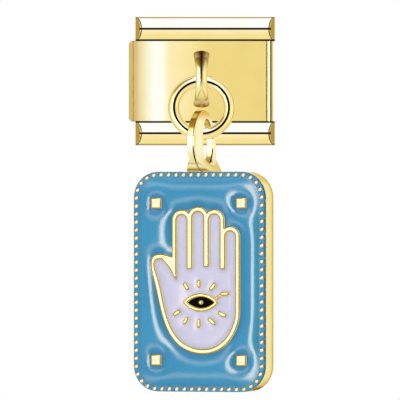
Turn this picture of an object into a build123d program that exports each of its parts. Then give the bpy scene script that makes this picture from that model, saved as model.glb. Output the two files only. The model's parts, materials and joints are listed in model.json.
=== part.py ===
from build123d import *
import math
import os

os.makedirs("parts", exist_ok=True)

# A sprung bracelet link with an enamelled hamsa pendant on a jump ring.
# The origin is the centre of the link's back. The front faces -Y, and +Z is up.
# Depths are counted from the back of the link towards the front.

# Link
link_height = 9.0
link_depth = 2.6
sheet = 0.4
overrun = 1.0
half_turn = 180

# Face plate
plate_left = 5.11
plate_right = 5.04
plate_half_height = 2.83
dome_depth = 2.3
dome_sag = 0.28
lip_radius = 0.42
lip_tail = 0.44
lip_corner = 0.28
roll_radius = 0.23
roll_drop = 0.1

# Rails
rail_left = 4.64
rail_right = 5.15
rail_arch = 0.6
rail_wall = 0.3
rail_back_wall = 0.42
rail_slant = 0.36
rail_corner = 0.2
channel_depth = 1.75
left_stop = 0.3
right_stop = 0.5

# Back plate
slide_clearance = 0.06
panel = 0.35
panel_edge_gap = 0.08
web = 0.35
flange_lift = 0.65
flange_length = 7.5
ear = 0.3
hook_reach = 4.9
hook_tail = 0.4
hook_half_height = 2.3
end_gap = 0.02

# Leaf springs
spring_gauge = 0.1
spring_width = 0.8
spring_wave_height = 0.2
spring_waves = 4
spring_length_gap = 0.02

# Staple
wire_width = 0.87
staple_gauge = 0.5
staple_radius = 2.0
staple_leg = 0.3
staple_height = 0.127
staple_sink = 0.25
staple_round = 0.17
collar_width = 1.2
collar_height = 0.62
collar_rise = 0.12
collar_round = 0.22

# Jump ring
ring_radius = 1.953
ring_wire = 0.41
ring_stand = 1.17
ring_tilt = 16.8

# Pendant
pendant_turn = 22
pendant_across = 0.25
pendant_drop = 2.64
case_forward = 0.1
case_width = 9.84
case_height = 15.37
case_thickness = 2.1
case_corner = 1.82
case_back_round = 0.5
enamel = 0.3
line_stand = 0.1

# Bail
bail_width = 0.5
bail_depth = 4.2
bail_foot_width = 1.85
bail_flare = 0.9
bail_flare_half = 0.56
# Its outline and its hole, seen from the side, as shares of the bail's depth and drop
bail_outline_shares = [
    (-0.202, -1.0),
    (-0.510, -0.75),
    (-0.643, -0.30),
    (-0.560, 0.27),
    (-0.155, 0.629),
    (0.238, 0.189),
    (0.345, -0.35),
    (0.320, -0.73),
    (0.199, -1.0),
]
bail_hole_shares = [
    (0.0, -0.871),
    (0.184, -0.60),
    (0.215, -0.10),
    (0.090, 0.27),
    (-0.083, 0.40),
    (-0.215, 0.18),
    (-0.238, -0.25),
    (-0.184, -0.60),
    (0.0, -0.871),
]

# Beads round the edge
bead_radius = 0.155
bead_inset = 0.2
bead_count = 82
bead_sides = 5
bead_height = 0.15
bead_chamfer = 0.08

# Raised lines of the hand
hand_width = 6.8
hand_height = 10.27
hand_line = 0.34
finger_foot = 0.0
bar_corner = 0.13
curve_steps = 9
# The thumb, the heel of the hand and the edge below the little finger
hand_curve_shares = [
    (-0.294, 0.169),
    (-0.428, 0.183),
    (-0.543, 0.135),
    (-0.499, 0.016),
    (-0.437, -0.148),
    (-0.366, -0.300),
    (-0.241, -0.420),
    (-0.118, -0.476),
    (0.040, -0.490),
    (0.184, -0.476),
    (0.325, -0.414),
    (0.422, -0.311),
    (0.457, -0.195),
]
hand_right_share = 0.457
knuckle_share = 0.144
# How high each bar between the fingers ends
bar_foot_shares = [0.0855, 0.1005, 0.0855]
thumb_root_share = -0.294
# Each finger opening's width, as a share of all four, and its top, from the index finger
finger_shares = [(0.176, 0.456), (0.191, 0.477), (0.184, 0.459), (0.170, 0.344)]
# The fold between thumb and index finger, and how high it reaches
crotch_shares = [(-0.434, 0.175), (-0.331, 0.102)]
crotch_top_share = 0.175
crotch_tip_share = 0.010

# Eye, rays and corner squares
eye_half = 1.325
eye_rise = 0.63
eye_line = 0.24
eye_round = 0.12
eye_across = 0.165
eye_up = -1.44
iris_radius = 0.15
ray_width = 0.27
ray_end_share = 0.5
stem_width = 0.14
leaf_width = 0.26
# Both ends of each ray, as shares of the hand
ray_shares = [
    (-0.162, -0.006, -0.112, -0.055),
    (0.003, 0.013, 0.003, -0.041),
    (0.187, -0.012, 0.127, -0.057),
    (-0.277, -0.229, -0.201, -0.195),
    (-0.167, -0.289, -0.118, -0.240),
    (0.003, -0.251, 0.003, -0.313),
    (0.107, -0.249, 0.189, -0.289),
    (0.215, -0.208, 0.304, -0.233),
]
# The lash at the eye's corner, a thin stem and its leaf, as shares of the hand
stem_shares = (0.177, -0.122, 0.262, -0.079)
leaf_shares = (0.243, -0.082, 0.339, -0.078)
square = 0.75
square_across = 3.2
square_up = 5.49


# Derived places of the link
rail_top = link_height / 2
rail_height = rail_top - plate_half_height
rail_middle = (rail_top + plate_half_height) / 2
rail_length = rail_left + rail_right
rail_shoulder = link_depth - rail_arch
channel_back = rail_back_wall
channel_half = rail_height / 2 - rail_wall
channel_start = left_stop - rail_left
channel_end = rail_right - right_stop
dome_edge = dome_depth - dome_sag
lip_start = lip_radius - plate_left
roll_middle = plate_right - roll_radius
roll_depth = dome_edge - roll_drop - roll_radius
dome_end = roll_middle - roll_radius + end_gap


# Face plate, drawn in plan and drawn out along the height of the link
with BuildPart() as face_plate:
    with BuildSketch(Plane.XY):
        with BuildLine():
            dome_middle = (lip_start + dome_end) / 2
            outer = ThreePointArc(
                (lip_start, -dome_edge), (dome_middle, -dome_depth), (dome_end, -dome_edge)
            )
            ThreePointArc(
                (lip_start, -dome_edge),
                (-plate_left, lip_radius - dome_edge),
                (lip_start, 2 * lip_radius - dome_edge),
            )
            tail_x = lip_start + lip_tail
            Polyline(
                (lip_start, 2 * lip_radius - dome_edge),
                (tail_x, 2 * lip_radius - dome_edge),
                (tail_x, sheet - dome_edge),
            )
            ThreePointArc(
                (tail_x, sheet - dome_edge),
                (dome_middle, sheet - dome_depth),
                (dome_end, sheet - dome_edge),
            )
            Line((dome_end, sheet - dome_edge), outer @ 1)
        make_face()
        with Locations((roll_middle, -roll_depth)):
            Circle(roll_radius)
    extrude(amount=plate_half_height, both=True)
    # The lip has round corners, seen from the front
    with BuildSketch(Plane.XZ):
        with Locations(((plate_right - plate_left) / 2, 0)):
            Rectangle(plate_left + plate_right, 2 * plate_half_height)
        fillet(vertices().group_by(Axis.X)[0], lip_corner)
    extrude(amount=link_depth + overrun, both=True, mode=Mode.INTERSECT)
face_plate.part.label = "face_plate"


# Top rail, a half-round bar with a channel for the flange and the spring
with BuildPart() as top_rail:
    with BuildSketch(Plane.YZ.offset(-rail_left)):
        with BuildLine():
            Polyline(
                (-rail_shoulder, plate_half_height),
                (0, plate_half_height),
                (0, rail_top),
                (-rail_shoulder, rail_top),
            )
            ThreePointArc(
                (-rail_shoulder, rail_top),
                (-link_depth, rail_middle),
                (-rail_shoulder, plate_half_height),
            )
        make_face()
    extrude(amount=rail_length)
    back_edge = edges().filter_by(Axis.X).group_by(Axis.Y)[-1].sort_by(Axis.Z)[-1]
    fillet(back_edge, rail_corner)
    # The channel is closed at both ends
    with BuildSketch(Plane.YZ.offset(channel_start)):
        with Locations((-(channel_back + channel_depth) / 2, rail_middle)):
            Rectangle(channel_depth - channel_back, 2 * channel_half)
    extrude(amount=channel_end - channel_start, mode=Mode.SUBTRACT)
    # The flange comes in through a slot in the inner wall
    with BuildSketch(Plane.YZ.offset(channel_start)):
        with Locations((-(flange_lift + panel / 2), plate_half_height)):
            Rectangle(panel + 2 * slide_clearance, 2 * rail_wall + 2 * slide_clearance)
    extrude(amount=channel_end - channel_start, mode=Mode.SUBTRACT)
    # Slanted ends
    with BuildSketch(Plane.XY):
        for end, way in ((-rail_left, 1), (rail_right, -1)):
            Polygon(
                (end, -rail_shoulder),
                (end + way * rail_slant, -link_depth),
                (end + way * rail_slant, -link_depth - overrun),
                (end - way * overrun, -link_depth - overrun),
                (end - way * overrun, -rail_shoulder),
                align=None,
            )
    extrude(amount=link_height, both=True, mode=Mode.SUBTRACT)
top_rail.part.label = "top_rail"

with BuildPart() as bottom_rail:
    mirror(top_rail.part, about=Plane.XY)
bottom_rail.part.label = "bottom_rail"


# Back plate: a panel with raised flanges that run in both channels
flange_start = channel_start + end_gap
panel_half = plate_half_height - panel_edge_gap
flange_tip = rail_middle + channel_half - slide_clearance
ear_depth = channel_depth - slide_clearance
hook_start = hook_reach - panel
with BuildPart() as back_plate:
    with BuildSketch(Plane.XY):
        with BuildLine():
            Polyline(
                (hook_start, -2 * panel),
                (hook_start - hook_tail, -2 * panel),
                (hook_start - hook_tail, -panel),
                (flange_start, -panel),
                (flange_start, 0),
                (hook_start, 0),
            )
            ThreePointArc((hook_start, 0), (hook_reach, -panel), (hook_start, -2 * panel))
        make_face()
    extrude(amount=hook_half_height, both=True)
    for side in (1, -1):
        with BuildSketch(Plane.YZ.offset(flange_start)):
            with BuildLine():
                Polyline(
                    (0, 0),
                    (0, side * panel_half),
                    (-flange_lift, side * panel_half),
                    (-flange_lift, side * flange_tip),
                    (-flange_lift - panel, side * flange_tip),
                    (-flange_lift - panel, side * (panel_half - web)),
                    (-panel, side * (panel_half - web)),
                    (-panel, 0),
                    (0, 0),
                )
            make_face()
        extrude(amount=flange_length)
        # The ear at the end of the flange presses on the spring
        with BuildSketch(Plane.YZ.offset(flange_start)):
            with Locations((-(flange_lift + ear_depth) / 2, side * rail_middle)):
                Rectangle(ear_depth - flange_lift, spring_width)
        extrude(amount=ear)
back_plate.part.label = "back_plate"


# Leaf springs, bent in waves between the ear and the end of the channel
spring_start = flange_start + ear + spring_length_gap
spring_end = channel_end - spring_length_gap
spring_pitch = (spring_end - spring_start) / spring_waves
spring_middle = (flange_lift + panel + channel_depth) / 2
spring_half = (spring_width - 2 * slide_clearance) / 2
with BuildPart() as top_spring:
    with BuildSketch(Plane.XY.offset(rail_middle)):
        with BuildLine():
            for wave in range(spring_waves):
                swing = spring_wave_height * (-1) ** wave
                ThreePointArc(
                    (spring_start + wave * spring_pitch, -spring_middle),
                    (spring_start + (wave + 1 / 2) * spring_pitch, -spring_middle + swing),
                    (spring_start + (wave + 1) * spring_pitch, -spring_middle),
                )
        trace(line_width=spring_gauge)
    extrude(amount=spring_half, both=True)
top_spring.part.label = "top_spring"

with BuildPart() as bottom_spring:
    mirror(top_spring.part, about=Plane.XY)
bottom_spring.part.label = "bottom_spring"


# Staple, a half ring of rounded wire on two short legs, soldered square to the face plate
staple_crown = dome_depth + staple_leg
leg_offset = staple_radius - staple_gauge / 2
leg_places = [(0, staple_height + leg_offset), (0, staple_height - leg_offset)]
with BuildPart() as staple:
    with BuildSketch(Plane.XZ.offset(staple_crown)):
        with Locations(leg_places[0]):
            Rectangle(wire_width, staple_gauge)
        chamfer(vertices(), staple_round)
    crown_axis = Axis((0, -staple_crown, staple_height), (1, 0, 0))
    revolve(axis=crown_axis, revolution_arc=half_turn)
    with BuildSketch(Plane.XZ.offset(staple_crown)):
        with Locations(*leg_places):
            Rectangle(wire_width, staple_gauge)
        chamfer(vertices(), staple_round)
    extrude(amount=-staple_leg - staple_sink)
    # A collar of solder round each foot
    with BuildSketch(Plane.XZ.offset(dome_depth + collar_rise)):
        with Locations(*leg_places):
            Rectangle(collar_width, collar_height)
        chamfer(vertices(), collar_round)
    extrude(amount=-collar_rise - staple_sink)
    add(face_plate.part, mode=Mode.SUBTRACT)
staple.part.label = "staple"


# Jump ring, tilted forward because the bail's back limb lies against the rail
tilt = math.radians(ring_tilt)
hang_y = -(dome_depth + ring_stand)
ring_y = hang_y - ring_radius * math.sin(tilt)
ring_z = -ring_radius * math.cos(tilt)
swing_y = hang_y - 2 * ring_radius * math.sin(tilt)
swing_z = -2 * ring_radius * math.cos(tilt)
ring_plane = Plane(
    origin=(0, ring_y, ring_z),
    x_dir=(1, 0, 0),
    z_dir=(0, -math.cos(tilt), math.sin(tilt)),
)
with BuildPart(ring_plane) as jump_ring:
    Torus(ring_radius, ring_wire)
jump_ring.part.label = "jump_ring"


# The pendant's own directions: across, up, and out of its face
turn = math.radians(pendant_turn)
across = Vector(math.cos(turn), -math.sin(turn), 0)
outward = Vector(-math.sin(turn), -math.cos(turn), 0)
swing_point = Vector(pendant_across, swing_y, swing_z)
case_middle_z = swing_z - pendant_drop - case_height / 2
case_middle = Vector(pendant_across, swing_y, case_middle_z) + outward * case_forward
back_offset = -case_thickness / 2
floor_offset = case_thickness / 2 - enamel
case_plane = Plane(origin=case_middle, x_dir=across, z_dir=outward)
floor_plane = case_plane.offset(floor_offset)


def hand_point(shares):
    """A point on the pendant's face, from its shares of the hand."""
    return (shares[0] * hand_width, shares[1] * hand_height)


def bar_between(start, end, width):
    """A short bar on the face between two points, with its ends narrowed."""
    start, end = Vector(*start), Vector(*end)
    along = (end - start).normalized() * width * ray_end_share
    beside = Vector(-along.Y, along.X, 0)
    Polygon(
        *[
            (point.X, point.Y)
            for point in (
                start - beside / 2,
                start + along - beside,
                end - along - beside,
                end - beside / 2,
                end + beside / 2,
                end - along + beside,
                start + along + beside,
                start + beside / 2,
            )
        ],
        align=None,
    )


# The finger openings fill the hand between its two outer lines, with equal bars between
index_left = thumb_root_share * hand_width + hand_line
little_right = hand_right_share * hand_width - hand_line
fingers_across = little_right - index_left
finger_widths = [share * fingers_across for share, top_share in finger_shares]
finger_tops = [top_share * hand_height for share, top_share in finger_shares]
bar_width = (fingers_across - sum(finger_widths)) / (len(finger_shares) - 1)
finger_lefts = [
    index_left + sum(finger_widths[:count]) + count * bar_width
    for count in range(len(finger_shares))
]
knuckle = knuckle_share * hand_height


def fingers(margin):
    """The four fingers, each widened by a margin all round."""
    for left, width, top in zip(finger_lefts, finger_widths, finger_tops):
        length = top + margin - finger_foot
        with Locations((left + width / 2, finger_foot + length / 2)):
            SlotOverall(length, width + 2 * margin, rotation=90)


with BuildLine() as hand_curve:
    rim = Spline([hand_point(shares) for shares in hand_curve_shares])


def palm(inset):
    """The thumb and palm up to the knuckles, drawn in by an inset all round."""
    points = []
    for step in range(curve_steps):
        place, way = rim @ (step / curve_steps), rim % (step / curve_steps)
        points.append((place.X - inset * way.Y, place.Y + inset * way.X))
    right = hand_right_share * hand_width - inset
    points.append((right, (rim @ 1).Y))
    with BuildLine() as edge:
        inner_rim = Spline(points)
        Polyline(
            inner_rim @ 1,
            (right, knuckle - inset),
            (thumb_root_share * hand_width, knuckle - inset),
            inner_rim @ 0,
        )
    make_face(edge.edges())


# Hand outline and its opening, drawn flat and laid on the floor of the tray later
with BuildSketch() as hand_shape:
    palm(0)
    fingers(hand_line)

with BuildSketch() as hand_opening:
    palm(hand_line)
    fingers(0)
    Polygon(
        *[hand_point(shares) for shares in crotch_shares],
        (index_left, crotch_tip_share * hand_height),
        (index_left, crotch_top_share * hand_height),
        align=None,
        mode=Mode.SUBTRACT,
    )
    for left, foot_share in zip(finger_lefts[1:], bar_foot_shares):
        bar_foot = foot_share * hand_height
        with Locations((left - bar_width / 2, (knuckle + bar_foot) / 2)):
            RectangleRounded(bar_width, knuckle - bar_foot, bar_corner, mode=Mode.SUBTRACT)


def almond(half, rise):
    """A pointed eye between two arcs."""
    left = (eye_across - half, eye_up)
    right = (eye_across + half, eye_up)
    with BuildLine() as edge:
        ThreePointArc(left, (eye_across, eye_up + rise), right)
        ThreePointArc(left, (eye_across, eye_up - rise), right)
    make_face(edge.edges())


eye_slope = math.atan2(eye_rise, eye_half)
eye_tip = eye_line / math.sin(2 * eye_slope)
with BuildSketch() as eye_shape:
    almond(eye_half, eye_rise)
    fillet(vertices(), eye_round)

with BuildSketch() as eye_opening:
    almond(eye_half - eye_tip, eye_rise - eye_line)
    with Locations((eye_across, eye_up)):
        Circle(iris_radius, mode=Mode.SUBTRACT)

with BuildSketch() as eye_marks:
    add(eye_shape.sketch)
    add(eye_opening.sketch, mode=Mode.SUBTRACT)
    for shares in ray_shares:
        bar_between(hand_point(shares[:2]), hand_point(shares[2:]), ray_width)
    bar_between(hand_point(stem_shares[:2]), hand_point(stem_shares[2:]), stem_width)
    bar_between(hand_point(leaf_shares[:2]), hand_point(leaf_shares[2:]), leaf_width)


# Pendant case: a thick plate, with the lines, squares and beads cast on its floor
line_height = enamel + line_stand
with BuildSketch() as bead_path:
    RectangleRounded(
        case_width - 2 * bead_inset, case_height - 2 * bead_inset, case_corner - bead_inset
    )
bead_line = bead_path.sketch.face().outer_wire()
bead_points = [bead_line @ (bead / bead_count) for bead in range(bead_count)]
bead_places = [(point.X, point.Y) for point in bead_points]

with BuildPart() as pendant_case:
    with BuildSketch(case_plane.offset(back_offset)):
        RectangleRounded(case_width, case_height, case_corner)
    extrude(amount=case_thickness - enamel)
    back_face = faces().sort_by(Axis(case_middle, outward))[0]
    fillet(back_face.edges(), case_back_round)
    with BuildSketch(floor_plane):
        add(hand_shape.sketch)
        add(hand_opening.sketch, mode=Mode.SUBTRACT)
        add(eye_marks.sketch)
        for square_x in (-square_across, square_across):
            for square_z in (-square_up, square_up):
                with Locations((square_x, square_z)):
                    Rectangle(square, square)
    extrude(amount=line_height)
    # Each bead is a short post through the enamel with a faceted crown
    with BuildSketch(floor_plane):
        with Locations(*bead_places):
            RegularPolygon(bead_radius, bead_sides)
    extrude(amount=enamel + bead_height)
    bead_tops = faces().group_by(Axis(case_middle, outward))[-1]
    chamfer(bead_tops.edges(), bead_chamfer)
pendant_case.part.label = "pendant_case"


# Enamels, each filling its own field up to the same level
with BuildPart() as blue_enamel:
    with BuildSketch(floor_plane):
        RectangleRounded(case_width, case_height, case_corner)
        add(hand_shape.sketch, mode=Mode.SUBTRACT)
        for square_x in (-square_across, square_across):
            for square_z in (-square_up, square_up):
                with Locations((square_x, square_z)):
                    Rectangle(square, square, mode=Mode.SUBTRACT)
        with Locations(*bead_places):
            RegularPolygon(bead_radius, bead_sides, mode=Mode.SUBTRACT)
    extrude(amount=enamel)
blue_enamel.part.label = "blue_enamel"

with BuildPart() as hand_enamel:
    with BuildSketch(floor_plane):
        add(hand_opening.sketch)
        add(eye_shape.sketch, mode=Mode.SUBTRACT)
        add(eye_marks.sketch, mode=Mode.SUBTRACT)
    extrude(amount=enamel)
hand_enamel.part.label = "hand_enamel"

with BuildPart() as eye_enamel:
    with BuildSketch(floor_plane):
        add(eye_opening.sketch)
    extrude(amount=enamel)
eye_enamel.part.label = "eye_enamel"


# Bail, seen from its side: a loop that narrows to a foot on the case
bail_plane = Plane(origin=swing_point, x_dir=-outward, z_dir=across)
bail_outline = [(x * bail_depth, z * pendant_drop) for x, z in bail_outline_shares]
bail_hole = [(x * bail_depth, z * pendant_drop) for x, z in bail_hole_shares]
with BuildPart() as bail_loop:
    with BuildSketch(bail_plane):
        with BuildLine():
            Spline(bail_outline)
            Line(bail_outline[-1], bail_outline[0])
        make_face()
        with BuildLine():
            Spline(bail_hole)
        make_face(mode=Mode.SUBTRACT)
    extrude(amount=bail_foot_width / 2, both=True)
    # Seen from the front, the band is narrow and flares to the foot
    with BuildSketch(Plane(origin=swing_point, x_dir=across, z_dir=outward)):
        with BuildLine():
            flare_top = bail_flare - pendant_drop
            flare_mid = bail_flare / 2 - pendant_drop
            Polyline(
                (-bail_width / 2, flare_top),
                (-bail_width / 2, pendant_drop),
                (bail_width / 2, pendant_drop),
                (bail_width / 2, flare_top),
            )
            ThreePointArc(
                (bail_width / 2, flare_top),
                (bail_flare_half, flare_mid),
                (bail_foot_width / 2, -pendant_drop),
            )
            Line((bail_foot_width / 2, -pendant_drop), (-bail_foot_width / 2, -pendant_drop))
            ThreePointArc(
                (-bail_foot_width / 2, -pendant_drop),
                (-bail_flare_half, flare_mid),
                (-bail_width / 2, flare_top),
            )
        make_face()
    extrude(amount=bail_depth, both=True, mode=Mode.INTERSECT)
bail_loop.part.label = "bail_loop"


for piece in (
    face_plate,
    top_rail,
    bottom_rail,
    back_plate,
    top_spring,
    bottom_spring,
    staple,
    jump_ring,
    bail_loop,
    pendant_case,
    blue_enamel,
    hand_enamel,
    eye_enamel,
):
    label = piece.part.label
    export_step(piece.part, f"parts/{label}.step")
    box = piece.part.bounding_box()
    print(label, len(piece.part.solids()), round(piece.part.volume, 4), box.size)
print("ring hinge", hang_y, 0, "pendant hinge", swing_y, swing_z)
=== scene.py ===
# %% [markdown]
# # A hamsa pendant on a bracelet link
#
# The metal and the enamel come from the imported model, in metres. This script gives
# them their finishes, pours the enamel so that it swells between its gold lines,
# sets round beads on the edge, and lights the whole like a piece of jewellery.

# %% Load the model
import bpy
import bmesh
import json
import math
import numpy as np
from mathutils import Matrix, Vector, kdtree
from mathutils.geometry import delaunay_2d_cdt

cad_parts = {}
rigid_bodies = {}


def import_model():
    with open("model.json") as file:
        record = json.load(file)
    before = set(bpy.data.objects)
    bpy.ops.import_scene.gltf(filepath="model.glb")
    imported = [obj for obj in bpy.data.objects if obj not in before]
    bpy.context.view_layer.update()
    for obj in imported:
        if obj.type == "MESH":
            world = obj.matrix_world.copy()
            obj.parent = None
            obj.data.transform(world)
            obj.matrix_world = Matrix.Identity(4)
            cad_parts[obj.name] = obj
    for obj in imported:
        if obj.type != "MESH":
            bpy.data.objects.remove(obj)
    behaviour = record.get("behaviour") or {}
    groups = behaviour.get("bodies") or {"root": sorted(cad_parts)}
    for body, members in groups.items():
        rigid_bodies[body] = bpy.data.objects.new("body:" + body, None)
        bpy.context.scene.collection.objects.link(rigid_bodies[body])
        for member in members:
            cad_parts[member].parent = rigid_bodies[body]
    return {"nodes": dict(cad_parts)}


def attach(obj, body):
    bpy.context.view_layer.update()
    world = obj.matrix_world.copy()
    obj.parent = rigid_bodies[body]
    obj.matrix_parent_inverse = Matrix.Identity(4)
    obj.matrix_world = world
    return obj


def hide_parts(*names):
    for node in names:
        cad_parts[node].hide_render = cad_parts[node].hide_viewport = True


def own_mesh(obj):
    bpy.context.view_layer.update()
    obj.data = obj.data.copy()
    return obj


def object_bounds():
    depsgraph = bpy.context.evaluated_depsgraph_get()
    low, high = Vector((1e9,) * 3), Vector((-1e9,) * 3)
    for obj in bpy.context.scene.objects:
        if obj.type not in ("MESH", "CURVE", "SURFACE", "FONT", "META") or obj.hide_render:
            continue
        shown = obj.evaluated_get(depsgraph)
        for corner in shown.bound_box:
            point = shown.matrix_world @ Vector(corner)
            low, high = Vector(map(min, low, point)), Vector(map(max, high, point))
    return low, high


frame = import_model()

mm = 0.001
cad_low, cad_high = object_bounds()
print("model box in mm", [round(v / mm, 2) for v in (*cad_low, *cad_high)])

# %% [markdown]
# ## Shader maths that reads like Python
#
# A material is a graph of small nodes. Wrapping a socket in a class with the usual
# operators lets a mask be written as a formula, and each operator adds one Math node.


# %% A number from a node
class Reading:
    """A number that a node gives."""

    def __init__(self, finish, socket):
        self.finish = finish
        self.socket = socket

    def maths(self, operation, *others):
        """One Math node on this number and some others."""
        values = dict(enumerate((self, *others)))
        return self.finish.add("ShaderNodeMath", {"operation": operation}, values)

    def __add__(self, other):
        return self.maths("ADD", other)

    def __sub__(self, other):
        return self.maths("SUBTRACT", other)

    def __mul__(self, other):
        return self.maths("MULTIPLY", other)

    def __truediv__(self, other):
        return self.maths("DIVIDE", other)

    def __rsub__(self, other):
        return (self * -1) + other

    __radd__ = __add__

    def size(self):
        return self.maths("ABSOLUTE")

    def power(self, exponent):
        return self.maths("POWER", exponent)

    def larger(self, other):
        return self.maths("MAXIMUM", other)

    def smaller(self, other):
        return self.maths("MINIMUM", other)

    def ramp(self, low, high):
        """0 below low, 1 above high, and smooth between them."""
        settings = {"interpolation_type": "SMOOTHSTEP"}
        values = {"Value": self, "From Min": low, "From Max": high}
        return self.finish.add("ShaderNodeMapRange", settings, values)

    def bump_at(self, middle, width):
        """A smooth bell that is 1 at the middle and fades over the width."""
        return 1 - (self - middle).size().ramp(0.0, width)


# %% A finish
class Finish:
    """A material, or the world, and the nodes that make it up."""

    def __init__(self, name, owner=None):
        self.owner = owner or bpy.data.materials.new(name)
        self.owner.use_nodes = True
        self.tree = self.owner.node_tree
        self.tree.nodes.clear()

    def add(self, kind, settings=None, values=None, output=0):
        """One node: its settings first, then the values or links of its sockets."""
        node = self.tree.nodes.new(kind)
        for key, value in (settings or {}).items():
            setattr(node, key, value)
        for key, value in (values or {}).items():
            if isinstance(value, Reading):
                self.tree.links.new(value.socket, node.inputs[key])
            else:
                node.inputs[key].default_value = value
        return Reading(self, node.outputs[output]) if len(node.outputs) else None

    def place(self):
        """The place on the piece in millimetres, in the model's own directions."""
        spot = self.add("ShaderNodeTexCoord", output="Object")
        values = {0: spot, "Scale": 1 / mm}
        return self.add("ShaderNodeVectorMath", {"operation": "SCALE"}, values)

    def normal(self):
        """The way the surface faces, in the same directions as the place."""
        return self.add("ShaderNodeTexCoord", output="Normal")

    def along(self, place, direction, start=(0, 0, 0)):
        """How far a place lies along a direction from a start, in millimetres."""
        settings = {"operation": "SUBTRACT"}
        shifted = self.add("ShaderNodeVectorMath", settings, {0: place, 1: start})
        values = {0: shifted, 1: direction}
        return self.add("ShaderNodeVectorMath", {"operation": "DOT_PRODUCT"}, values, "Value")

    def spread(self, place, scales):
        """A place scaled by another amount along each axis, which stretches a noise."""
        values = {0: place, 1: scales}
        return self.add("ShaderNodeVectorMath", {"operation": "MULTIPLY"}, values)

    def noise(self, place, scale, detail=2.0):
        values = {"Vector": place, "Scale": scale, "Detail": detail}
        return self.add("ShaderNodeTexNoise", None, values, "Fac")

    def stored(self, name):
        """A number kept at each point of the mesh."""
        return self.add("ShaderNodeAttribute", {"attribute_name": name}, output="Fac")

    def blend(self, share, one, other):
        """A colour between two others."""
        settings = {"data_type": "RGBA"}
        values = {"Factor": share, 6: one, 7: other}
        return self.add("ShaderNodeMix", settings, values, 2)

    def end_with(self, shader):
        self.add("ShaderNodeOutputMaterial", None, {"Surface": shader})
        return self.owner

    def surface(self, values):
        """Ends the material with one surface."""
        return self.end_with(self.add("ShaderNodeBsdfPrincipled", None, values))


# %% Colours, and wearing them
def colour(red, green, blue):
    """A colour given as the eye sees it, turned into light values."""
    light = []
    for part in (red, green, blue):
        part = part / 255
        light.append(part / 12.92 if part < 0.04045 else ((part + 0.055) / 1.055) ** 2.4)
    return (*light, 1.0)


def wear(piece, material):
    """Gives a piece one material."""
    piece.data.materials.clear()
    piece.data.materials.append(material)
    print(piece.name, "wears", material.name)


# %% [markdown]
# ## Polished gold
#
# Plated jewellery is nearly a mirror. What makes it look real is what it reflects,
# with a little help from the surface: a faint haze, fine polishing lines, and edges
# that are never quite sharp, which a Bevel node rounds for the light. Painted dark
# reflections and painted shade don't shine, so they are a second, matt surface, and a
# mask says how much of it shows. Deeper gold painted as shade still shines, so it is a tint of
# the metal.

# %% Gold
gold_tones = (colour(250, 230, 152), colour(243, 219, 132))
cast_tones = (colour(242, 230, 152), colour(234, 220, 136))
# Deeper gold for painted shade, black for painted dark reflection, brown and matt golds for
# painted shade.
painted_deep_gold, gold_rim = colour(208, 162, 40), (0.95, 0.8, 0.45, 1.0)
painted_line_black, painted_shade_brown = colour(30, 16, 2), colour(150, 104, 14)
painted_shade_gold, painted_wall_shade_gold = colour(222, 196, 116), colour(214, 170, 40)
even_grain, long_grain = (24, 24, 24), (0.8, 30, 30)


def gold(name, haze=0.05, edge=0.05, tint=None, marks=(), tones=gold_tones, grain=even_grain):
    """Polished gold, with deeper gold painted as shade where tint is 1. Each mark is a mask and
    its matt colour of painted shade or painted dark reflection.
    """
    finish = Finish(name)
    place = finish.place()
    tone = finish.blend(finish.noise(place, 0.6), *tones)
    lines = finish.noise(finish.spread(place, grain), 1.0, 3.0)
    if tint:
        tone = finish.blend(tint(finish, place), tone, painted_deep_gold)
    rounded = finish.add("ShaderNodeBevel", {"samples": 6}, {"Radius": edge * mm})
    values = {"Height": lines, "Strength": 0.03, "Distance": 0.01 * mm, "Normal": rounded}
    values = {
        "Base Color": tone,
        "Metallic": 1.0,
        "Roughness": haze + lines * 0.04,
        "Specular Tint": gold_rim,
        "Normal": finish.add("ShaderNodeBump", None, values),
    }
    metal = finish.add("ShaderNodeBsdfPrincipled", None, values)
    for mask, dark in marks:
        values = {"Base Color": dark, "Roughness": 0.7, "Specular IOR Level": 0.0}
        matt = finish.add("ShaderNodeBsdfPrincipled", None, values)
        share = mask(finish, place)
        metal = finish.add("ShaderNodeMixShader", None, {0: share, 1: metal, 2: matt})
    return finish.end_with(metal)


# %% [markdown]
# ## The link
#
# The link is one unit of a modular bracelet: a domed face plate between two half-round
# rails, and a back plate that slides in them. Each rail shows a fine painted dark
# reflection along its crown and another round each slanted end, and the plate meets
# the rails in a seam of painted shade. These are narrow places where the metal reflects
# no light, so the finish darkens there, measured in the model's own millimetres. They
# could be cut into the mesh, but a mask keeps the model's shape.

# %% Lines on the rails
to_right, to_front, upward = Vector((1, 0, 0)), Vector((0, -1, 0)), Vector((0, 0, 1))
plate_half_height, link_half_height = 2.83, 4.5
rail_middle = (plate_half_height + link_half_height) / 2
rail_crown, rail_shoulder, rail_slope = 2.4, 2.0, 0.6
# How far the rails reach to the right, 1, and to the left, -1.
rail_reach = {1: 5.15, -1: 4.64}
# Sizes of the painted dark reflection lines and the painted seam shade, in millimetres.
line_half, line_fade, seam_half, corner_in, corner_half = 0.055, 0.04, 0.08, 0.06, 0.03


def rail_painted_line(finish, place):
    """Painted dark reflection on the crown and the edges of the slanted ends, and painted shade
    in the seam beside the plate.
    """
    height = finish.along(place, upward).size()
    depth = finish.along(place, to_front)
    line = 1 - (height - rail_middle).size().ramp(line_half, line_half + line_fade)
    line = line * depth.ramp(rail_crown, rail_crown + 0.1)
    seam = 1 - (height - plate_half_height).ramp(seam_half, seam_half + 0.06)
    line = line.larger(seam)
    for side, reach in rail_reach.items():
        gap = reach - finish.along(place, to_right * side) - (depth - rail_shoulder) * rail_slope
        corner = (1 - (gap - corner_in).size().ramp(corner_half, 2 * corner_half)) * 0.9
        line = line.larger(corner * depth.ramp(rail_shoulder, rail_shoulder + 0.1))
    return line


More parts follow.
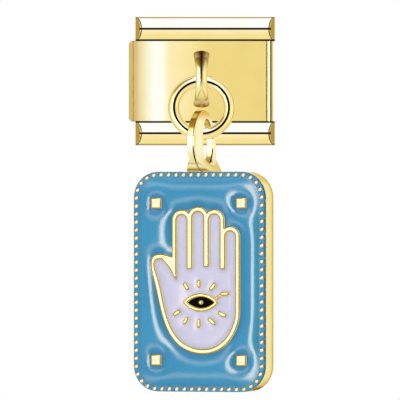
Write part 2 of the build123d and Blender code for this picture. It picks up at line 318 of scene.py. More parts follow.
def rail_painted_shade(finish, place):
    """Painted shade: brown on the outer edge of each rail."""
    height = finish.along(place, upward).size()
    return height.ramp(link_half_height - 0.14, link_half_height - 0.04) * 0.7


rail_gold = gold("rail_gold", marks=((rail_painted_shade, painted_shade_brown), (rail_painted_line, painted_line_black)))
wear(frame["nodes"]["top_rail"], rail_gold)
wear(frame["nodes"]["bottom_rail"], rail_gold)

# %% Painted lines and shade on the plates
# Painted shade marks two grooves in the rolled right edge, and the lip starts this far to the
# left.
painted_roll_grooves, lip_start = ((4.58, 0.07), (4.88, 0.11)), 4.64


def plate_painted_line(finish, place):
    """Painted shade in the seams along the rails and in two grooves of the rolled right edge."""
    height = finish.along(place, upward).size()
    side = finish.along(place, to_right)
    line = height.ramp(plate_half_height - 0.05, plate_half_height)
    for middle, width in painted_roll_grooves:
        line = line.larger(side.bump_at(middle, width))
    return line


def lip_painted_shade(finish, place):
    """Painted shade: matt gold over the lip, dimming its reflection."""
    return finish.along(place, -to_right).ramp(lip_start, lip_start + 0.1) * 0.8


def lip_painted_line(finish, place):
    """Painted shade: a brown line along the lip."""
    return finish.along(place, -to_right).bump_at(lip_start + 0.16, 0.1) * 0.8


def lip_painted_tint(finish, place):
    """Painted shade: deeper gold where the plate bends down to the lip."""
    return finish.along(place, -to_right).ramp(lip_start - 0.34, lip_start + 0.06) * 0.3


plate_marks = ((lip_painted_shade, painted_shade_gold), (lip_painted_line, painted_shade_brown), (plate_painted_line, painted_line_black))
plate_gold = gold("plate_gold", haze=0.07, tint=lip_painted_tint, marks=plate_marks)
wear(frame["nodes"]["face_plate"], plate_gold)
wear(frame["nodes"]["back_plate"], gold("back_gold", haze=0.2, grain=long_grain))

# %% [markdown]
# ## The staple
#
# The staple is a short piece of round wire bent into a half ring and soldered on. The
# model has it with flat sides. Here an oval is carried along the same half ring. It is
# slimmest in front, and widens to both feet, where the solder has run up the wire.


# %% A new piece
def add_piece(name, mesh, body):
    """Makes an object from a mesh, and lets it ride on a body."""
    data = bpy.data.meshes.new(name)
    mesh.to_mesh(data)
    mesh.free()
    piece = bpy.data.objects.new(name, data)
    bpy.context.scene.collection.objects.link(piece)
    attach(piece, body)
    print(name, "points", len(data.vertices), "faces", len(data.polygons))
    return piece


# %% The path of the staple
staple_middle = Vector((0, -2.6, 0.127)) * mm
staple_radius, staple_leg = 1.75 * mm, 0.37 * mm
half_ring = math.pi * staple_radius
staple_length = half_ring + 2 * staple_leg
print("staple wire in mm", round(staple_length / mm, 2))


def staple_place(along):
    """A place along the wire, and the outward direction there."""
    from_foot = min(along, staple_length - along)
    angle = math.pi / 2 - min(max(along - staple_leg, 0), half_ring) / staple_radius
    radial = to_front * math.cos(angle) + upward * math.sin(angle)
    back = to_front * -max(0, staple_leg - from_foot)
    return staple_middle + radial * staple_radius + back, radial


# %% Bend the staple
staple_half, staple_depth = 0.39 * mm, 0.25 * mm
foot_spread, foot_curve = 0.17 * mm, 1.6
staple_steps, staple_sides = 72, 28

mesh = bmesh.new()
rounds = []
for step in range(staple_steps + 1):
    middle, radial = staple_place(staple_length * step / staple_steps)
    half = staple_half + foot_spread * abs(radial.z) ** foot_curve
    loop = []
    for turn in range(staple_sides):
        angle = 2 * math.pi * turn / staple_sides
        offset = to_right * half * math.sin(angle) + radial * staple_depth * math.cos(angle)
        loop.append(mesh.verts.new(middle + offset))
    rounds.append(loop)
for near, far in zip(rounds, rounds[1:]):
    for turn in range(staple_sides):
        after = (turn + 1) % staple_sides
        mesh.faces.new((near[turn], near[after], far[after], far[turn])).smooth = True
mesh.faces.new(rounds[0])
mesh.faces.new(rounds[-1])
bmesh.ops.recalc_face_normals(mesh, faces=mesh.faces)
staple = add_piece("round_staple", mesh, "link_front")
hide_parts("staple")


# %% Finish of the staple
def staple_painted_line(finish, place):
    """A painted dark reflection down the front of the wire, widest at the top."""
    side = finish.along(place, to_right).size()
    height = finish.along(place, upward)
    half_width = height.ramp(0.0, 2.0) * 0.2 + 0.08
    return (1 - (side / half_width).ramp(0.1, 1.4)) * height.ramp(-0.7, 0.2)


def staple_painted_shade(finish, place):
    """Painted shade: brown at both feet, and a faint fork below the dark line."""
    side = finish.along(place, to_right).size()
    height = finish.along(place, upward)
    fork = (side + (height + 0.5) * 0.4).bump_at(0.0, 0.09)
    fork = fork * (1 - height.ramp(-0.8, -0.5)) * 0.5
    top_foot = height.ramp(0.7, 1.8) * 0.7
    low_foot = (1 - height.ramp(-1.9, -0.7)) * 0.65
    return top_foot.larger(low_foot).larger(fork)


staple_marks = ((staple_painted_shade, painted_shade_brown), (staple_painted_line, colour(60, 36, 4)))
wear(staple, gold("staple_gold", haze=0.12, marks=staple_marks))

# %% [markdown]
# ## The jump ring
#
# The ring is round wire, closed through the staple and the bail. The model's ring is
# round already, so only its finish is made here. A painted dark reflection runs along
# the front of the wire, so the finish finds the ring's own plane and darkens a narrow
# circle there.

# %% Finish of the ring
ring_tilt, ring_radius, ring_painted_line_in = math.radians(16.8), 1.953, 0.03
ring_front = to_front * math.cos(ring_tilt) + upward * math.sin(ring_tilt)
ring_down = to_front * math.sin(ring_tilt) - upward * math.cos(ring_tilt)
ring_hinge = to_front * 3.47
ring_middle = ring_hinge + ring_down * ring_radius


def ring_painted_line(finish, place):
    """A painted dark reflection: a narrow circle on the front of the wire, a little inside its
    middle.
    """
    side = finish.along(place, to_right, ring_middle)
    height = finish.along(place, upward / math.cos(ring_tilt), ring_middle)
    rise = finish.along(place, ring_front, ring_middle)
    radius = (side * side + height * height).power(0.5)
    line = 1 - (radius - (ring_radius - ring_painted_line_in)).size().ramp(0.065, 0.105)
    return line * rise.ramp(0.1, 0.2)


ring_gold = gold("ring_gold", haze=0.04, marks=((ring_painted_line, painted_line_black),))
wear(frame["nodes"]["jump_ring"], ring_gold)

# %% [markdown]
# ## Directions of the pendant
#
# The pendant hangs turned about 22 degrees, so its face has its own directions:
# across, up, and out of the face. Its case is one casting, polished on a wheel. Painted
# shade makes the wall deeper in colour towards its back edge, so the finish asks how far
# a place lies along the last direction, and whether the surface there is the wall.

# %% The pendant's own directions
pendant_turn = math.radians(22)
across = to_right * math.cos(pendant_turn) + to_front * math.sin(pendant_turn)
outward = to_front * math.cos(pendant_turn) - to_right * math.sin(pendant_turn)
case_height, case_thickness = 15.37 * mm, 2.1 * mm
bail_drop, case_shift = 2.64 * mm, 0.1 * mm
swing_point = Vector((0.25, -4.598958, -3.739290)) * mm
pendant_middle = swing_point + outward * case_shift - upward * (bail_drop + case_height / 2)
print("pendant middle in mm", [round(v / mm, 2) for v in pendant_middle])


# %% Finish of the case
def on_the_wall(finish):
    """1 on the case's wall and 0 on its flat back."""
    return 1 - finish.along(finish.normal(), -outward).ramp(0.6, 0.95)


def case_painted_tint(finish, place):
    """Painted shade: deeper gold towards the back of the wall."""
    depth = finish.along(place, outward, pendant_middle / mm)
    shade = (1 - depth.ramp(-0.7, -0.1)) * 0.75 + (1 - depth.ramp(-0.5, 0.8)) * 0.25
    return shade * on_the_wall(finish)


def case_painted_shade(finish, place):
    """Painted shade: matt dull gold on the wall towards its back edge."""
    depth = finish.along(place, outward, pendant_middle / mm)
    return (1 - depth.ramp(-0.78, -0.3)) * 0.9 * on_the_wall(finish)


case_looks = {"tint": case_painted_tint, "marks": ((case_painted_shade, painted_wall_shade_gold),), "tones": cast_tones}
wear(frame["nodes"]["pendant_case"], gold("case_gold", haze=0.12, edge=0.3, **case_looks))

# %% [markdown]
# ## The bail
#
# The bail is the closed loop that the pendant hangs by. It is cast, and polishing has
# rounded its edges. The model's bail has sharp ones, so a copy of it has its flat
# triangles joined, its sharp edges bevelled in four steps, and all of it shaded smooth.
# The rounded edges then catch the room's light and dark, and painted dark reflection and painted
# shade are added on top.

# %% Round the bail's edges
weld_gap, round_width = 0.0005 * mm, 0.09 * mm
flat_angle, sharp_angle = math.radians(1), 0.6
mesh = bmesh.new()
mesh.from_mesh(frame["nodes"]["bail_loop"].data)
bmesh.ops.remove_doubles(mesh, verts=mesh.verts, dist=weld_gap)
bmesh.ops.dissolve_limit(
    mesh, angle_limit=flat_angle, verts=mesh.verts, edges=mesh.edges, delimit={"NORMAL"}
)
sharp = [e for e in mesh.edges if e.is_manifold and e.calc_face_angle() > sharp_angle]
bmesh.ops.bevel(
    mesh, geom=sharp, offset=round_width, offset_type="OFFSET", segments=4, profile=0.5,
    affect="EDGES", clamp_overlap=True,
)
for face in mesh.faces:
    face.smooth = True
bail = add_piece("rounded_bail", mesh, "pendant")
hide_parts("bail_loop")


# %% Painted marks on the bail
bail_edge_reach = 0.18


def bail_edge(finish, place):
    """How near a place is to the rounded edge on the bail's right side."""
    reach = finish.along(place, across, swing_point / mm)
    return 1 - (reach - bail_edge_reach).size().ramp(0.03, 0.07)


def bail_painted_line(finish, place):
    """A painted dark reflection: black on the edge, along the lower half of the limb."""
    height = finish.along(place, upward)
    return bail_edge(finish, place) * (1 - height.ramp(-5.1, -4.4)) * height.ramp(-5.8, -5.6)


def bail_painted_shade(finish, place):
    """Painted shade: brown all along the same edge."""
    return bail_edge(finish, place) * 0.8


def bail_painted_matt(finish, place):
    """Painted shade: matt gold on the inside of the back limb and on the foot."""
    height = finish.along(place, upward)
    depth = finish.along(place, outward, swing_point / mm)
    inner = (1 - depth.ramp(-1.9, -1.2)) * 0.35
    return inner.larger((1 - height.ramp(-6.2, -5.5)) * 0.15)


# %% Finish of the bail
def bail_painted_tint(finish, place):
    """Painted shade: deeper gold on the loop's top, the inside of its back limb and its foot."""
    height = finish.along(place, upward)
    depth = finish.along(place, outward, swing_point / mm)
    not_side = 1 - finish.along(finish.normal(), across).size().ramp(0.5, 0.9)
    crown = (height.ramp(-4.2, -2.8) * not_side).larger(height.ramp(-3.0, -2.2)) * 0.9
    inner = (1 - depth.ramp(-1.6, -0.6)) * not_side
    foot = (1 - height.ramp(-6.0, -4.8)) * 0.25
    return crown.larger(inner).larger(foot)


bail_tones = (colour(250, 243, 182), colour(242, 231, 150))
bail_marks = ((bail_painted_matt, painted_shade_gold), (bail_painted_shade, painted_shade_brown), (bail_painted_line, painted_line_black))
wear(bail, gold("bail_gold", haze=0.14, tint=bail_painted_tint, marks=bail_marks, tones=bail_tones))

# %% [markdown]
# ## Spring steel
#
# The two leaf springs sit out of sight in the rails. They are rolled strip, so their
# grain runs along their length. When the link stretches, its back half presses them
# shorter. Each one here is a plain copy of the model's spring.

# %% Finish of the springs
steel = Finish("spring_steel")
steel_grain = steel.noise(steel.spread(steel.place(), (1.0, 12.0, 12.0)), 3.0)
steel_finish = steel.surface(
    {
        "Base Color": steel.blend(steel_grain, colour(190, 190, 188), colour(150, 150, 150)),
        "Metallic": 1.0,
        "Roughness": 0.25 + steel_grain * 0.15,
    }
)

# %% Copies of the springs
for name in ("top_spring", "bottom_spring"):
    mesh = bmesh.new()
    mesh.from_mesh(frame["nodes"][name].data)
    spring = add_piece(f"{name}_strip", mesh, "link_front")
    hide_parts(name)
    wear(spring, steel_finish)
    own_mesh(spring)

# %% [markdown]
# ## Forms that follow an outline
#
# Enamel is poured between the gold lines and swells a little as it sets, and the cast
# lines themselves have rounded tops. Both can be made the same way: the flat top of
# the model's piece gives the outline, a fine net of triangles fills it, and each point
# of the net is lifted. Sculpting would give the same swell, but this follows the model
# when its sizes change.

# %% Flat coordinates of the face
enamel_level = case_thickness / 2


def flat(point):
    """A point in the pendant's flat coordinates: across, up and out."""
    offset = point - pendant_middle
    return Vector((offset.dot(across), offset.dot(upward), offset.dot(outward)))


def on_face(x, z, rise=0.0):
    """A place on the pendant's face, from flat coordinates and a rise out of it."""
    return pendant_middle + across * x + upward * z + outward * (enamel_level + rise)


# %% Read a flat top
level_slack = 0.01 * mm


def outline_of(name, level):
    """The edges round the flat faces of a piece at one level, as points and pairs."""
    mesh = bmesh.new()
    mesh.from_mesh(frame["nodes"][name].data)
    bmesh.ops.remove_doubles(mesh, verts=mesh.verts, dist=weld_gap)
    spots = {v: flat(v.co) for v in mesh.verts}
    level_spots = {v for v in mesh.verts if abs(spots[v].z - level) < level_slack}
    top = {f for f in mesh.faces if level_spots.issuperset(f.verts)}
    edges = [e for e in mesh.edges if sum(f in top for f in e.link_faces) == 1]
    used = sorted({v for e in edges for v in e.verts}, key=lambda v: v.index)
    order = {v: n for n, v in enumerate(used)}
    points = [spots[v].to_2d() for v in used]
    pairs = [tuple(order[v] for v in e.verts) for e in edges]
    mesh.free()
    return points, pairs


def loops_of(pairs):
    """Chains of point numbers, one closed chain for each outline."""
    near = {}
    for a, b in pairs:
        near.setdefault(a, []).append(b)
        near.setdefault(b, []).append(a)
    left, loops = set(near), []
    while left:
        start = min(left)
        loop, here, before = [start], near[start][0], start
        while here != start:
            loop.append(here)
            before, here = here, next(n for n in near[here] if n != before)
        left.difference_update(loop)
        loops.append(loop)
    return loops


def closed(loop):
    """The pairs of neighbours in a closed chain."""
    return list(zip(loop, loop[1:] + loop[:1]))


# %% Ask about a flat spot
def inside(spots, points, pairs):
    """Which flat spots lie inside the outlines."""
    x, y = spots[:, 0], spots[:, 1]
    found = np.zeros(len(spots), bool)
    for a, b in pairs:
        (ax, ay), (bx, by) = points[a], points[b]
        if ay != by:
            found ^= ((ay > y) != (by > y)) & (x < (bx - ax) * (y - ay) / (by - ay) + ax)
    return found


def tree_of(points, pairs, gap):
    """A fast way to ask how far a flat spot lies from some outlines."""
    spots = []
    for a, b in pairs:
        steps = max(1, math.ceil((points[b] - points[a]).length / gap))
        spots += [points[a].lerp(points[b], step / steps) for step in range(steps)]
    tree = kdtree.KDTree(len(spots))
    for number, spot in enumerate(spots):
        tree.insert((spot.x, spot.y, 0), number)
    tree.balance()
    return lambda spot: tree.find((spot.x, spot.y, 0))[2]


# %% Fill an outline with a net
edge_clearance, weld_share = 0.45, 1e-9


def net_over(points, pairs, pitch):
    """Points and triangles that fill the outlines with a net of one pitch."""
    low_x, high_x = min(p.x for p in points), max(p.x for p in points)
    low_z, high_z = min(p.y for p in points), max(p.y for p in points)
    row_count, column_count = int((high_z - low_z) / pitch), int((high_x - low_x) / pitch)
    rows, columns = np.mgrid[0:row_count, 0:column_count]
    x = low_x + (columns + 0.5 * (rows % 2)) * pitch
    spots = np.stack([x.ravel(), (low_z + rows * pitch).ravel()], axis=1)
    gap_at = tree_of(points, pairs, pitch / 2)
    spots = [Vector(spot) for spot in spots[inside(spots, points, pairs)].tolist()]
    spots = [spot for spot in spots if gap_at(spot) > edge_clearance * pitch]
    corners, _, faces, *_ = delaunay_2d_cdt(points + spots, pairs, [], 0, weld_share)
    centres = np.array([sum((corners[i] for i in face), Vector((0, 0))) / 3 for face in faces])
    kept = inside(centres, points, pairs)
    return corners, [face for face, keep in zip(faces, kept) if keep]


# %% Lift a net
def lifted(name, level, corners, faces, heights, skirt, gaps, slope_at=None):
    """A net lifted to some heights, with a skirt down from its edges."""
    mesh = bmesh.new()
    layers = {key: mesh.verts.layers.float.new(key) for key in gaps}
    tops = []
    for corner, height in zip(corners, heights):
        vertex = mesh.verts.new(on_face(corner.x, corner.y, level + height))
        for key, gap_at in gaps.items():
            vertex[layers[key]] = gap_at(corner) / mm
        tops.append(vertex)
    for face in faces:
        mesh.faces.new([tops[i] for i in face]).smooth = True
    rim = [edge for edge in mesh.edges if len(edge.link_faces) == 1]
    walls = bmesh.ops.extrude_edge_only(mesh, edges=rim)["geom"]
    for vertex in (g for g in walls if isinstance(g, bmesh.types.BMVert)):
        vertex.co -= outward * skirt
    loose = [v for v in mesh.verts if not v.link_faces]
    bmesh.ops.delete(mesh, geom=loose, context="VERTS")
    bmesh.ops.recalc_face_normals(mesh, faces=mesh.faces)
    piece = add_piece(name, mesh, "pendant")
    if slope_at:
        normals = []
        for vertex in piece.data.vertices:
            slope = slope_at(flat(vertex.co).to_2d())
            normals.append((outward - across * slope.x - upward * slope.y).normalized())
        piece.data.normals_split_custom_set_from_vertices(normals)
    return piece


# %% [markdown]
# ## Poured enamel
#
# A film that sets is level in the middle and held down at the gold. The same happens to
# a grid of heights that starts level: in each pass every cell takes the mean of its four
# neighbours, and the held cells stay at zero. More passes carry the slope further in.
# The surface leans as the grid does, so the gloss shows soft dents round each line.


# %% Let a skin settle
def settled(points, pairs, free_at, swell, reach, cell):
    """The height and the slope of a skin that starts level and is held along its edges."""
    border = Vector((cell, cell)) * 3
    low = Vector((min(p.x for p in points), min(p.y for p in points))) - border
    high = Vector((max(p.x for p in points), max(p.y for p in points))) + border
    rows, columns = int((high.y - low.y) / cell), int((high.x - low.x) / cell)
    row, column = np.mgrid[0:rows, 0:columns]
    spots = np.stack([(low.x + column * cell).ravel(), (low.y + row * cell).ravel()], axis=1)
    free = inside(spots, points, pairs)
    free &= np.array([free_at(Vector(spot)) for spot in spots.tolist()])
    free = free.reshape(rows, columns)
    heights = swell * free
    for _ in range(int(2 * (reach / cell) ** 2)):
        around = np.roll(heights, 1, 0) + np.roll(heights, -1, 0)
        around += np.roll(heights, 1, 1) + np.roll(heights, -1, 1)
        heights = around / 4 * free

    def height_at(spot):
        x, y = (spot.x - low.x) / cell, (spot.y - low.y) / cell
        i, j = int(x), int(y)
        near = heights[j, i] * (1 - x + i) + heights[j, i + 1] * (x - i)
        far = heights[j + 1, i] * (1 - x + i) + heights[j + 1, i + 1] * (x - i)
        return near * (1 - y + j) + far * (y - j)

    def slope_at(spot):
        step_x, step_y = Vector((cell, 0)), Vector((0, cell))
        rise_x = height_at(spot + step_x) - height_at(spot - step_x)
        rise_y = height_at(spot + step_y) - height_at(spot - step_y)
        return Vector((rise_x, rise_y)) / (2 * cell)

    return height_at, slope_at


# %% Pour the enamel
skin_cell, enamel_skirt, smallest_line = 0.05 * mm, 0.28 * mm, 0.5 * mm


def poured(name, swell, reach, pitch, margin):
    """An enamel filling that swells away from the lines and from a margin at its edge."""
    points, pairs = outline_of(name, enamel_level)
    loops = loops_of(pairs)
    spans = [max(points[i].x for i in loop) - min(points[i].x for i in loop) for loop in loops]
    outer = loops[spans.index(max(spans))]
    lines = []
    for loop, span in zip(loops, spans):
        if loop is not outer and span > smallest_line:
            lines += closed(loop)
    edge_at = tree_of(points, closed(outer), pitch / 2)
    line_at = tree_of(points, lines or closed(outer), pitch / 2)

    def free_at(spot):
        return edge_at(spot) > margin

    height_at, slope_at = settled(points, pairs, free_at, swell, reach, skin_cell)
    corners, faces = net_over(points, pairs, pitch)
    heights = [height_at(corner) for corner in corners]
    gaps = {"edge_gap": edge_at, "line_gap": line_at}
    piece = lifted(f"poured_{name}", 0, corners, faces, heights, enamel_skirt, gaps, slope_at)
    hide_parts(name)
    return piece


blue_pour = poured(
    "blue_enamel", swell=0.19 * mm, reach=0.6 * mm, pitch=0.11 * mm, margin=0.36 * mm
)
hand_pour = poured(
    "hand_enamel", swell=0.07 * mm, reach=0.35 * mm, pitch=0.08 * mm, margin=0.01 * mm
)

# %% [markdown]
# ## Rounded gold lines
#
# The cast lines round the hand, the eye, the rays and the corner squares are rounded
# by polishing. Each gets a crown on its flat top, steep at the edges and level along
# the middle, so that it catches a bright line of light. A bevel would round the edges
# too, but it breaks where narrow lines meet, and a lifted net does not.

# %% Crowns of the lines
line_level, line_pitch, crown_skirt = 0.1 * mm, 0.06 * mm, 0.02 * mm
crown_height, crown_reach, gap_step = 0.075 * mm, 0.17 * mm, 0.02 * mm
line_points, line_pairs = outline_of("pendant_case", enamel_level + line_level)
line_gap_at = tree_of(line_points, line_pairs, gap_step)
line_corners, line_faces = net_over(line_points, line_pairs, line_pitch)
crown_heights = []
for corner in line_corners:
    share = min(1, line_gap_at(corner) / crown_reach)
    crown_heights.append(crown_height * (1 - (1 - share) ** 2))
line_gaps = {"line_gap": line_gap_at}
crowns = lifted(
    "line_crowns", line_level, line_corners, line_faces, crown_heights, crown_skirt, line_gaps
)


# %% Finish of the crowns
def crown_painted_shade(finish, place):
    """Painted shade: brown where a line meets the enamel."""
    return (1 - finish.stored("line_gap").ramp(0.0, 0.08)) * 0.7


def crown_painted_tint(finish, place):
    """Painted shade: deeper gold a little further in."""
    return (1 - finish.stored("line_gap").ramp(0.03, 0.13)) * 0.9


wear(crowns, gold("line_gold", tint=crown_painted_tint, marks=((crown_painted_shade, painted_shade_brown),)))

# %% [markdown]
# ## Blue, lilac and black enamel
#
# Enamel is coloured glass or resin under a clear gloss. It is deepest in colour where
# it meets the gold and a little lighter where it swells, so its tone follows the
# distance from the nearest line, with broad faint clouds on top.


# %% Finishes of the enamel
def enamel(name, open_tone, edge_tone, deepest, haze):
    """Glossy enamel, from its open tone to the tone beside the gold."""
    finish = Finish(name)
    place = finish.place()
    line_gap, edge_gap = finish.stored("line_gap"), finish.stored("edge_gap")
    cloud, fine = finish.noise(place, 0.3), finish.noise(place, 9.0)
    openness = line_gap.smaller(edge_gap).ramp(0.0, deepest)
    share = openness * 0.6 + cloud.ramp(0.35, 0.7) * 0.25 + fine.ramp(0.3, 0.7) * 0.15
    bump_values = {"Height": fine, "Strength": 0.02, "Distance": 0.02 * mm}
    values = {
        "Base Color": finish.blend(share, edge_tone, open_tone),
        "Roughness": (1 - edge_gap.ramp(0.3, 0.5)) * 0.3 + fine * 0.04 + haze,
        "Normal": finish.add("ShaderNodeBump", None, bump_values),
    }
    return finish.surface(values)


blue_tones = (colour(46, 157, 195), colour(32, 134, 176))
lilac_tones = (colour(222, 222, 242), colour(202, 201, 225))
wear(blue_pour, enamel("blue_enamel", *blue_tones, deepest=0.8, haze=0.11))
wear(hand_pour, enamel("lilac_enamel", *lilac_tones, deepest=0.25, haze=0.22))

# %% Finish of the eye
black = Finish("black_enamel")
black_grain = black.noise(black.place(), 14.0)
black_finish = black.surface(
    {
        "Base Color": black.blend(black_grain, colour(4, 4, 4), colour(14, 14, 15)),
        "Roughness": 0.18 + black_grain * 0.1,
        "Specular IOR Level": 0.01,
    }
)
wear(frame["nodes"]["eye_enamel"], black_finish)

# %% [markdown]
# ## Beads round the edge
#
# The beaded edge is cast with the case, with plain faceted beads in the model. A small
# round bead on each one gives the true form, and all of them together are one mesh.

# %% Round beads
bead_radius, bead_crown = 0.17 * mm, 0.15 * mm
bead_points, bead_pairs = outline_of("pendant_case", enamel_level + bead_crown)
bead_loops = loops_of(bead_pairs)
mesh = bmesh.new()
for loop in bead_loops:
    middle = sum((bead_points[i] for i in loop), Vector((0, 0))) / len(loop)
    place = on_face(middle.x, middle.y, bead_crown - bead_radius)
    ball = bmesh.ops.create_uvsphere(mesh, u_segments=20, v_segments=12, radius=bead_radius)
    bmesh.ops.translate(mesh, verts=ball["verts"], vec=place)
for face in mesh.faces:
    face.smooth = True
beads = add_piece("edge_beads", mesh, "pendant")
print("beads", len(bead_loops))


# %% Finish of the beads
def bead_painted_shade(finish, place):
    """Painted shade: brown round the foot of each bead and on its upper left."""
    rise = finish.along(place, outward, on_face(0, 0) / mm)
    up_left = finish.along(finish.normal(), upward * 0.8 - across * 0.6)
    return ((1 - rise.ramp(0.04, 0.12)) * 0.85).larger(up_left.ramp(0.0, 0.45) * 0.9)


bead_tones = (colour(255, 246, 205), colour(246, 224, 150))
bead_marks = ((bead_painted_shade, colour(128, 84, 12)),)
wear(beads, gold("bead_gold", haze=0.06, marks=bead_marks, tones=bead_tones))

# %% [markdown]
# ## Light
#
# Polished metal shows its surroundings, so the light is built as what the metal
# should see: a white room, brighter overhead, a tall narrow light to the left of the
# camera, and a darker field beside it. Lamps and white cards would do the same, but a
# room painted by direction keeps every edge of light where it is wanted.
#
# Directions are angles in degrees. A bearing is 0 towards the camera, 180 behind the
# piece, and above 0 on the right. Steepness is 0 level and 90 straight up.

# %% Directions in the room
world = bpy.data.worlds.new("studio")
bpy.context.scene.world = world
bpy.context.scene.view_settings.view_transform = "Standard"
room = Finish("studio", world)
looking = room.add("ShaderNodeTexCoord", output="Generated")
side = room.add("ShaderNodeSeparateXYZ", None, {0: looking}, 0)
depth = room.add("ShaderNodeSeparateXYZ", None, {0: looking}, 1)
rise = room.add("ShaderNodeSeparateXYZ", None, {0: looking}, 2)
bearing = side.maths("ARCTAN2", depth * -1) * (180 / math.pi)
steep = rise.maths("ARCSINE") * (180 / math.pi)


def between(reading, start, end, soft):
    """1 between two values, fading to 0 over a soft width outside them."""
    return reading.ramp(start - soft, start) * (1 - reading.ramp(end, end + soft))


def glow_at(side_angle, rise_angle, inner, outer):
    """1 near a direction, fading to 0 from one angle away from it to a wider one."""
    a, b = math.radians(side_angle), math.radians(rise_angle)
    middle = (math.sin(a) * math.cos(b), -math.cos(a) * math.cos(b), math.sin(b))
    near = room.along(looking, middle)
    return near.ramp(math.cos(math.radians(outer)), math.cos(math.radians(inner)))


# %% Lights at the level of the link
flat_ahead = 1 - steep.size().ramp(20.0, 40.0)
plate_light = between(bearing, -10.2, -8.8, 2.0) * 2.2
plate_wing = bearing.ramp(-13.0, -10.0) * (1 - bearing.ramp(-6.0, 2.0)) * 0.6
plate_shade = between(bearing, -24.0, -13.0, 2.5) * 0.3
ahead = (plate_light + plate_wing - plate_shade) * flat_ahead
face_light = glow_at(-44.0, 0.0, 16.0, 46.0) * (1 - bearing.ramp(-28.0, -15.0)) * 1.1
wall_light = between(bearing.size(), 128.0, 148.0, 6.0)
side_fill = between(bearing.size(), 22.0, 92.0, 8.0) * (1 - steep.size().ramp(35.0, 60.0)) * 0.15

# %% Lights above and below
behind = depth.ramp(-0.02, 0.02)
rail_band = 1 - side.size().ramp(0.1, 0.2)
above = rail_band * (steep.ramp(2.0, 9.0) * (1 - behind) + steep.ramp(52.0, 60.0) * behind)
above = above.larger(glow_at(0.0, 36.0, 18.0, 32.0) * steep.ramp(6.0, 16.0) * 0.65)
under_camera = rail_band * (1 - behind) * (1 - steep.ramp(-5.0, -2.0)) * steep.ramp(-75.0, -5.0)
under = (1 - steep.ramp(-60.0, -25.0)) * 0.15

# %% Dark fields, and the level of light
left_top = between(bearing, -110.0, -20.0, 10.0) * steep.ramp(28.0, 55.0) * 0.42
facet_dark = between(bearing.size(), 108.0, 121.0, 6.0) * 0.4
rear_dark = between(bearing.size(), 167.0, 174.0, 4.0) * steep.ramp(-60.0, -52.0) * 0.6
rear_dark = rear_dark * (1 - above) * (1 - glow_at(170.0, 19.0, 14.0, 16.0))
room_level, darkest = 0.93, 0.12
level = room_level + ahead + face_light + wall_light + side_fill
level = level + above * 2.6 + under_camera * 0.75 + under
level = (level - left_top - facet_dark - rear_dark).larger(darkest)

# %% [markdown]
# ## The colour of the light
#
# A photograph of gold goes from brown through gold to cream and white. One colour of
# light can't give that: a bright yellow only turns lemon. So each part of the colour
# has its own curve. Blue falls faster than red where the room is dark, and where it is
# bright only blue goes on rising. A narrow window on the left is far brighter than the
# room, and draws the soft bright lines in the enamel. Only glossy surfaces see all this:
# matt ones see an even pale room and two soft lamps, and the camera a plain backdrop.

# %% Colour of the room
white, matt_white = (1.0, 1.0, 1.0, 1.0), (0.8, 0.8, 0.8, 1.0)
window = between(bearing, -34.0, -30.0, 5.0) * (1 - steep.size().ramp(8.0, 18.0)) * 15.0
window = window + between(bearing, -56.0, -34.0, 8.0) * steep.size().bump_at(12.0, 8.0) * 3.5
dim = level.smaller(1.0)
glare = (level - 1).larger(0.0)
values = {
    "Red": dim + glare.ramp(0.0, 0.8) * 0.1 + window,
    "Green": dim.power(1.4) + (glare * 0.19).smaller(0.45) + window * 0.75,
    "Blue": dim.power(2.65) + glare + window * 0.5,
}
room_light = room.add("ShaderNodeCombineColor", None, values)
to_camera = room.add("ShaderNodeLightPath", output="Is Camera Ray")
to_gloss = room.add("ShaderNodeLightPath", output="Is Glossy Ray")
shown = room.blend(to_gloss, matt_white, room_light)
shown = room.blend(to_camera, shown, white)
glow = room.add("ShaderNodeBackground", None, {"Color": shown})
room.add("ShaderNodeOutputWorld", None, {"Surface": glow})
print("nodes in the room", len(room.tree.nodes))

# %% Soft lamps
piece_middle = Vector((0, -4, -9)) * mm


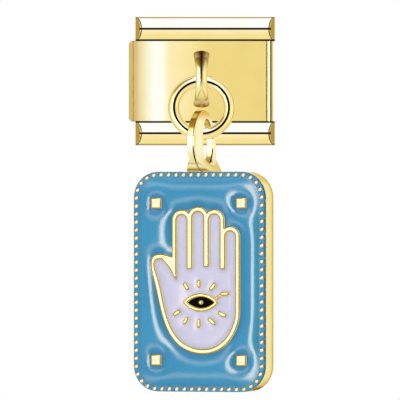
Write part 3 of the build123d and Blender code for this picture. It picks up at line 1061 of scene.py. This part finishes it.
def softbox(name, place, size, power):
    """A square lamp that faces the middle of the piece."""
    lamp = bpy.data.lights.new(name, "AREA")
    lamp.shape = "RECTANGLE"
    lamp.size = lamp.size_y = size * mm
    lamp.energy = power
    holder = bpy.data.objects.new(name, lamp)
    holder.location = Vector(place) * mm
    towards = piece_middle - holder.location
    holder.rotation_euler = towards.to_track_quat("-Z", "Y").to_euler()
    bpy.context.scene.collection.objects.link(holder)
    print(name, "at", place)


softbox("key_light", (-70, -90, 70), 60, 0.012)
softbox("fill_light", (90, -80, 20), 80, 0.004)

# %% [markdown]
# ## Floor and camera
#
# The floor is a plain pale sheet below the pendant. The camera looks straight on from
# far away with a long lens, which keeps upright lines upright as in the photograph.
# Floor and pieces are kept out of reflections, so that the metal shows only the room.

# %% Floor
floor_gap, half = 4 * mm, 90 * mm
drop = cad_low.z - floor_gap
corners = [(-half, -half, drop), (half, -half, drop), (half, half, drop), (-half, half, drop)]
floor_mesh = bpy.data.meshes.new("floor")
floor_mesh.from_pydata(corners, [], [(0, 1, 2, 3)])
floor = bpy.data.objects.new("floor", floor_mesh)
bpy.context.scene.collection.objects.link(floor)
paper = Finish("floor_paper")
paper_grain = paper.noise(paper.place(), 0.4)
paper_tone = paper.blend(paper_grain, colour(244, 244, 243), colour(238, 238, 237))
wear(floor, paper.surface({"Base Color": paper_tone, "Roughness": 0.8}))

# %% Keep the pieces out of each other's reflections
for piece in bpy.context.scene.objects:
    if piece.type == "MESH":
        piece.visible_glossy = False

# %% Camera
picture_middle, picture_width = Vector((-0.105, -4, -8.354)) * mm, 28.01 * mm
lens_length, sensor_width = 800.0, 36.0
distance = picture_width * lens_length / sensor_width
camera_data = bpy.data.cameras.new("camera")
camera_data.lens, camera_data.sensor_width = lens_length, sensor_width
camera_data.clip_start, camera_data.clip_end = distance / 100, distance * 10
camera = bpy.data.objects.new("camera", camera_data)
camera.location = picture_middle + to_front * distance
camera.rotation_euler = (math.pi / 2, 0, 0)
bpy.context.scene.collection.objects.link(camera)
bpy.context.scene.camera = camera
print("camera distance", round(distance, 3))
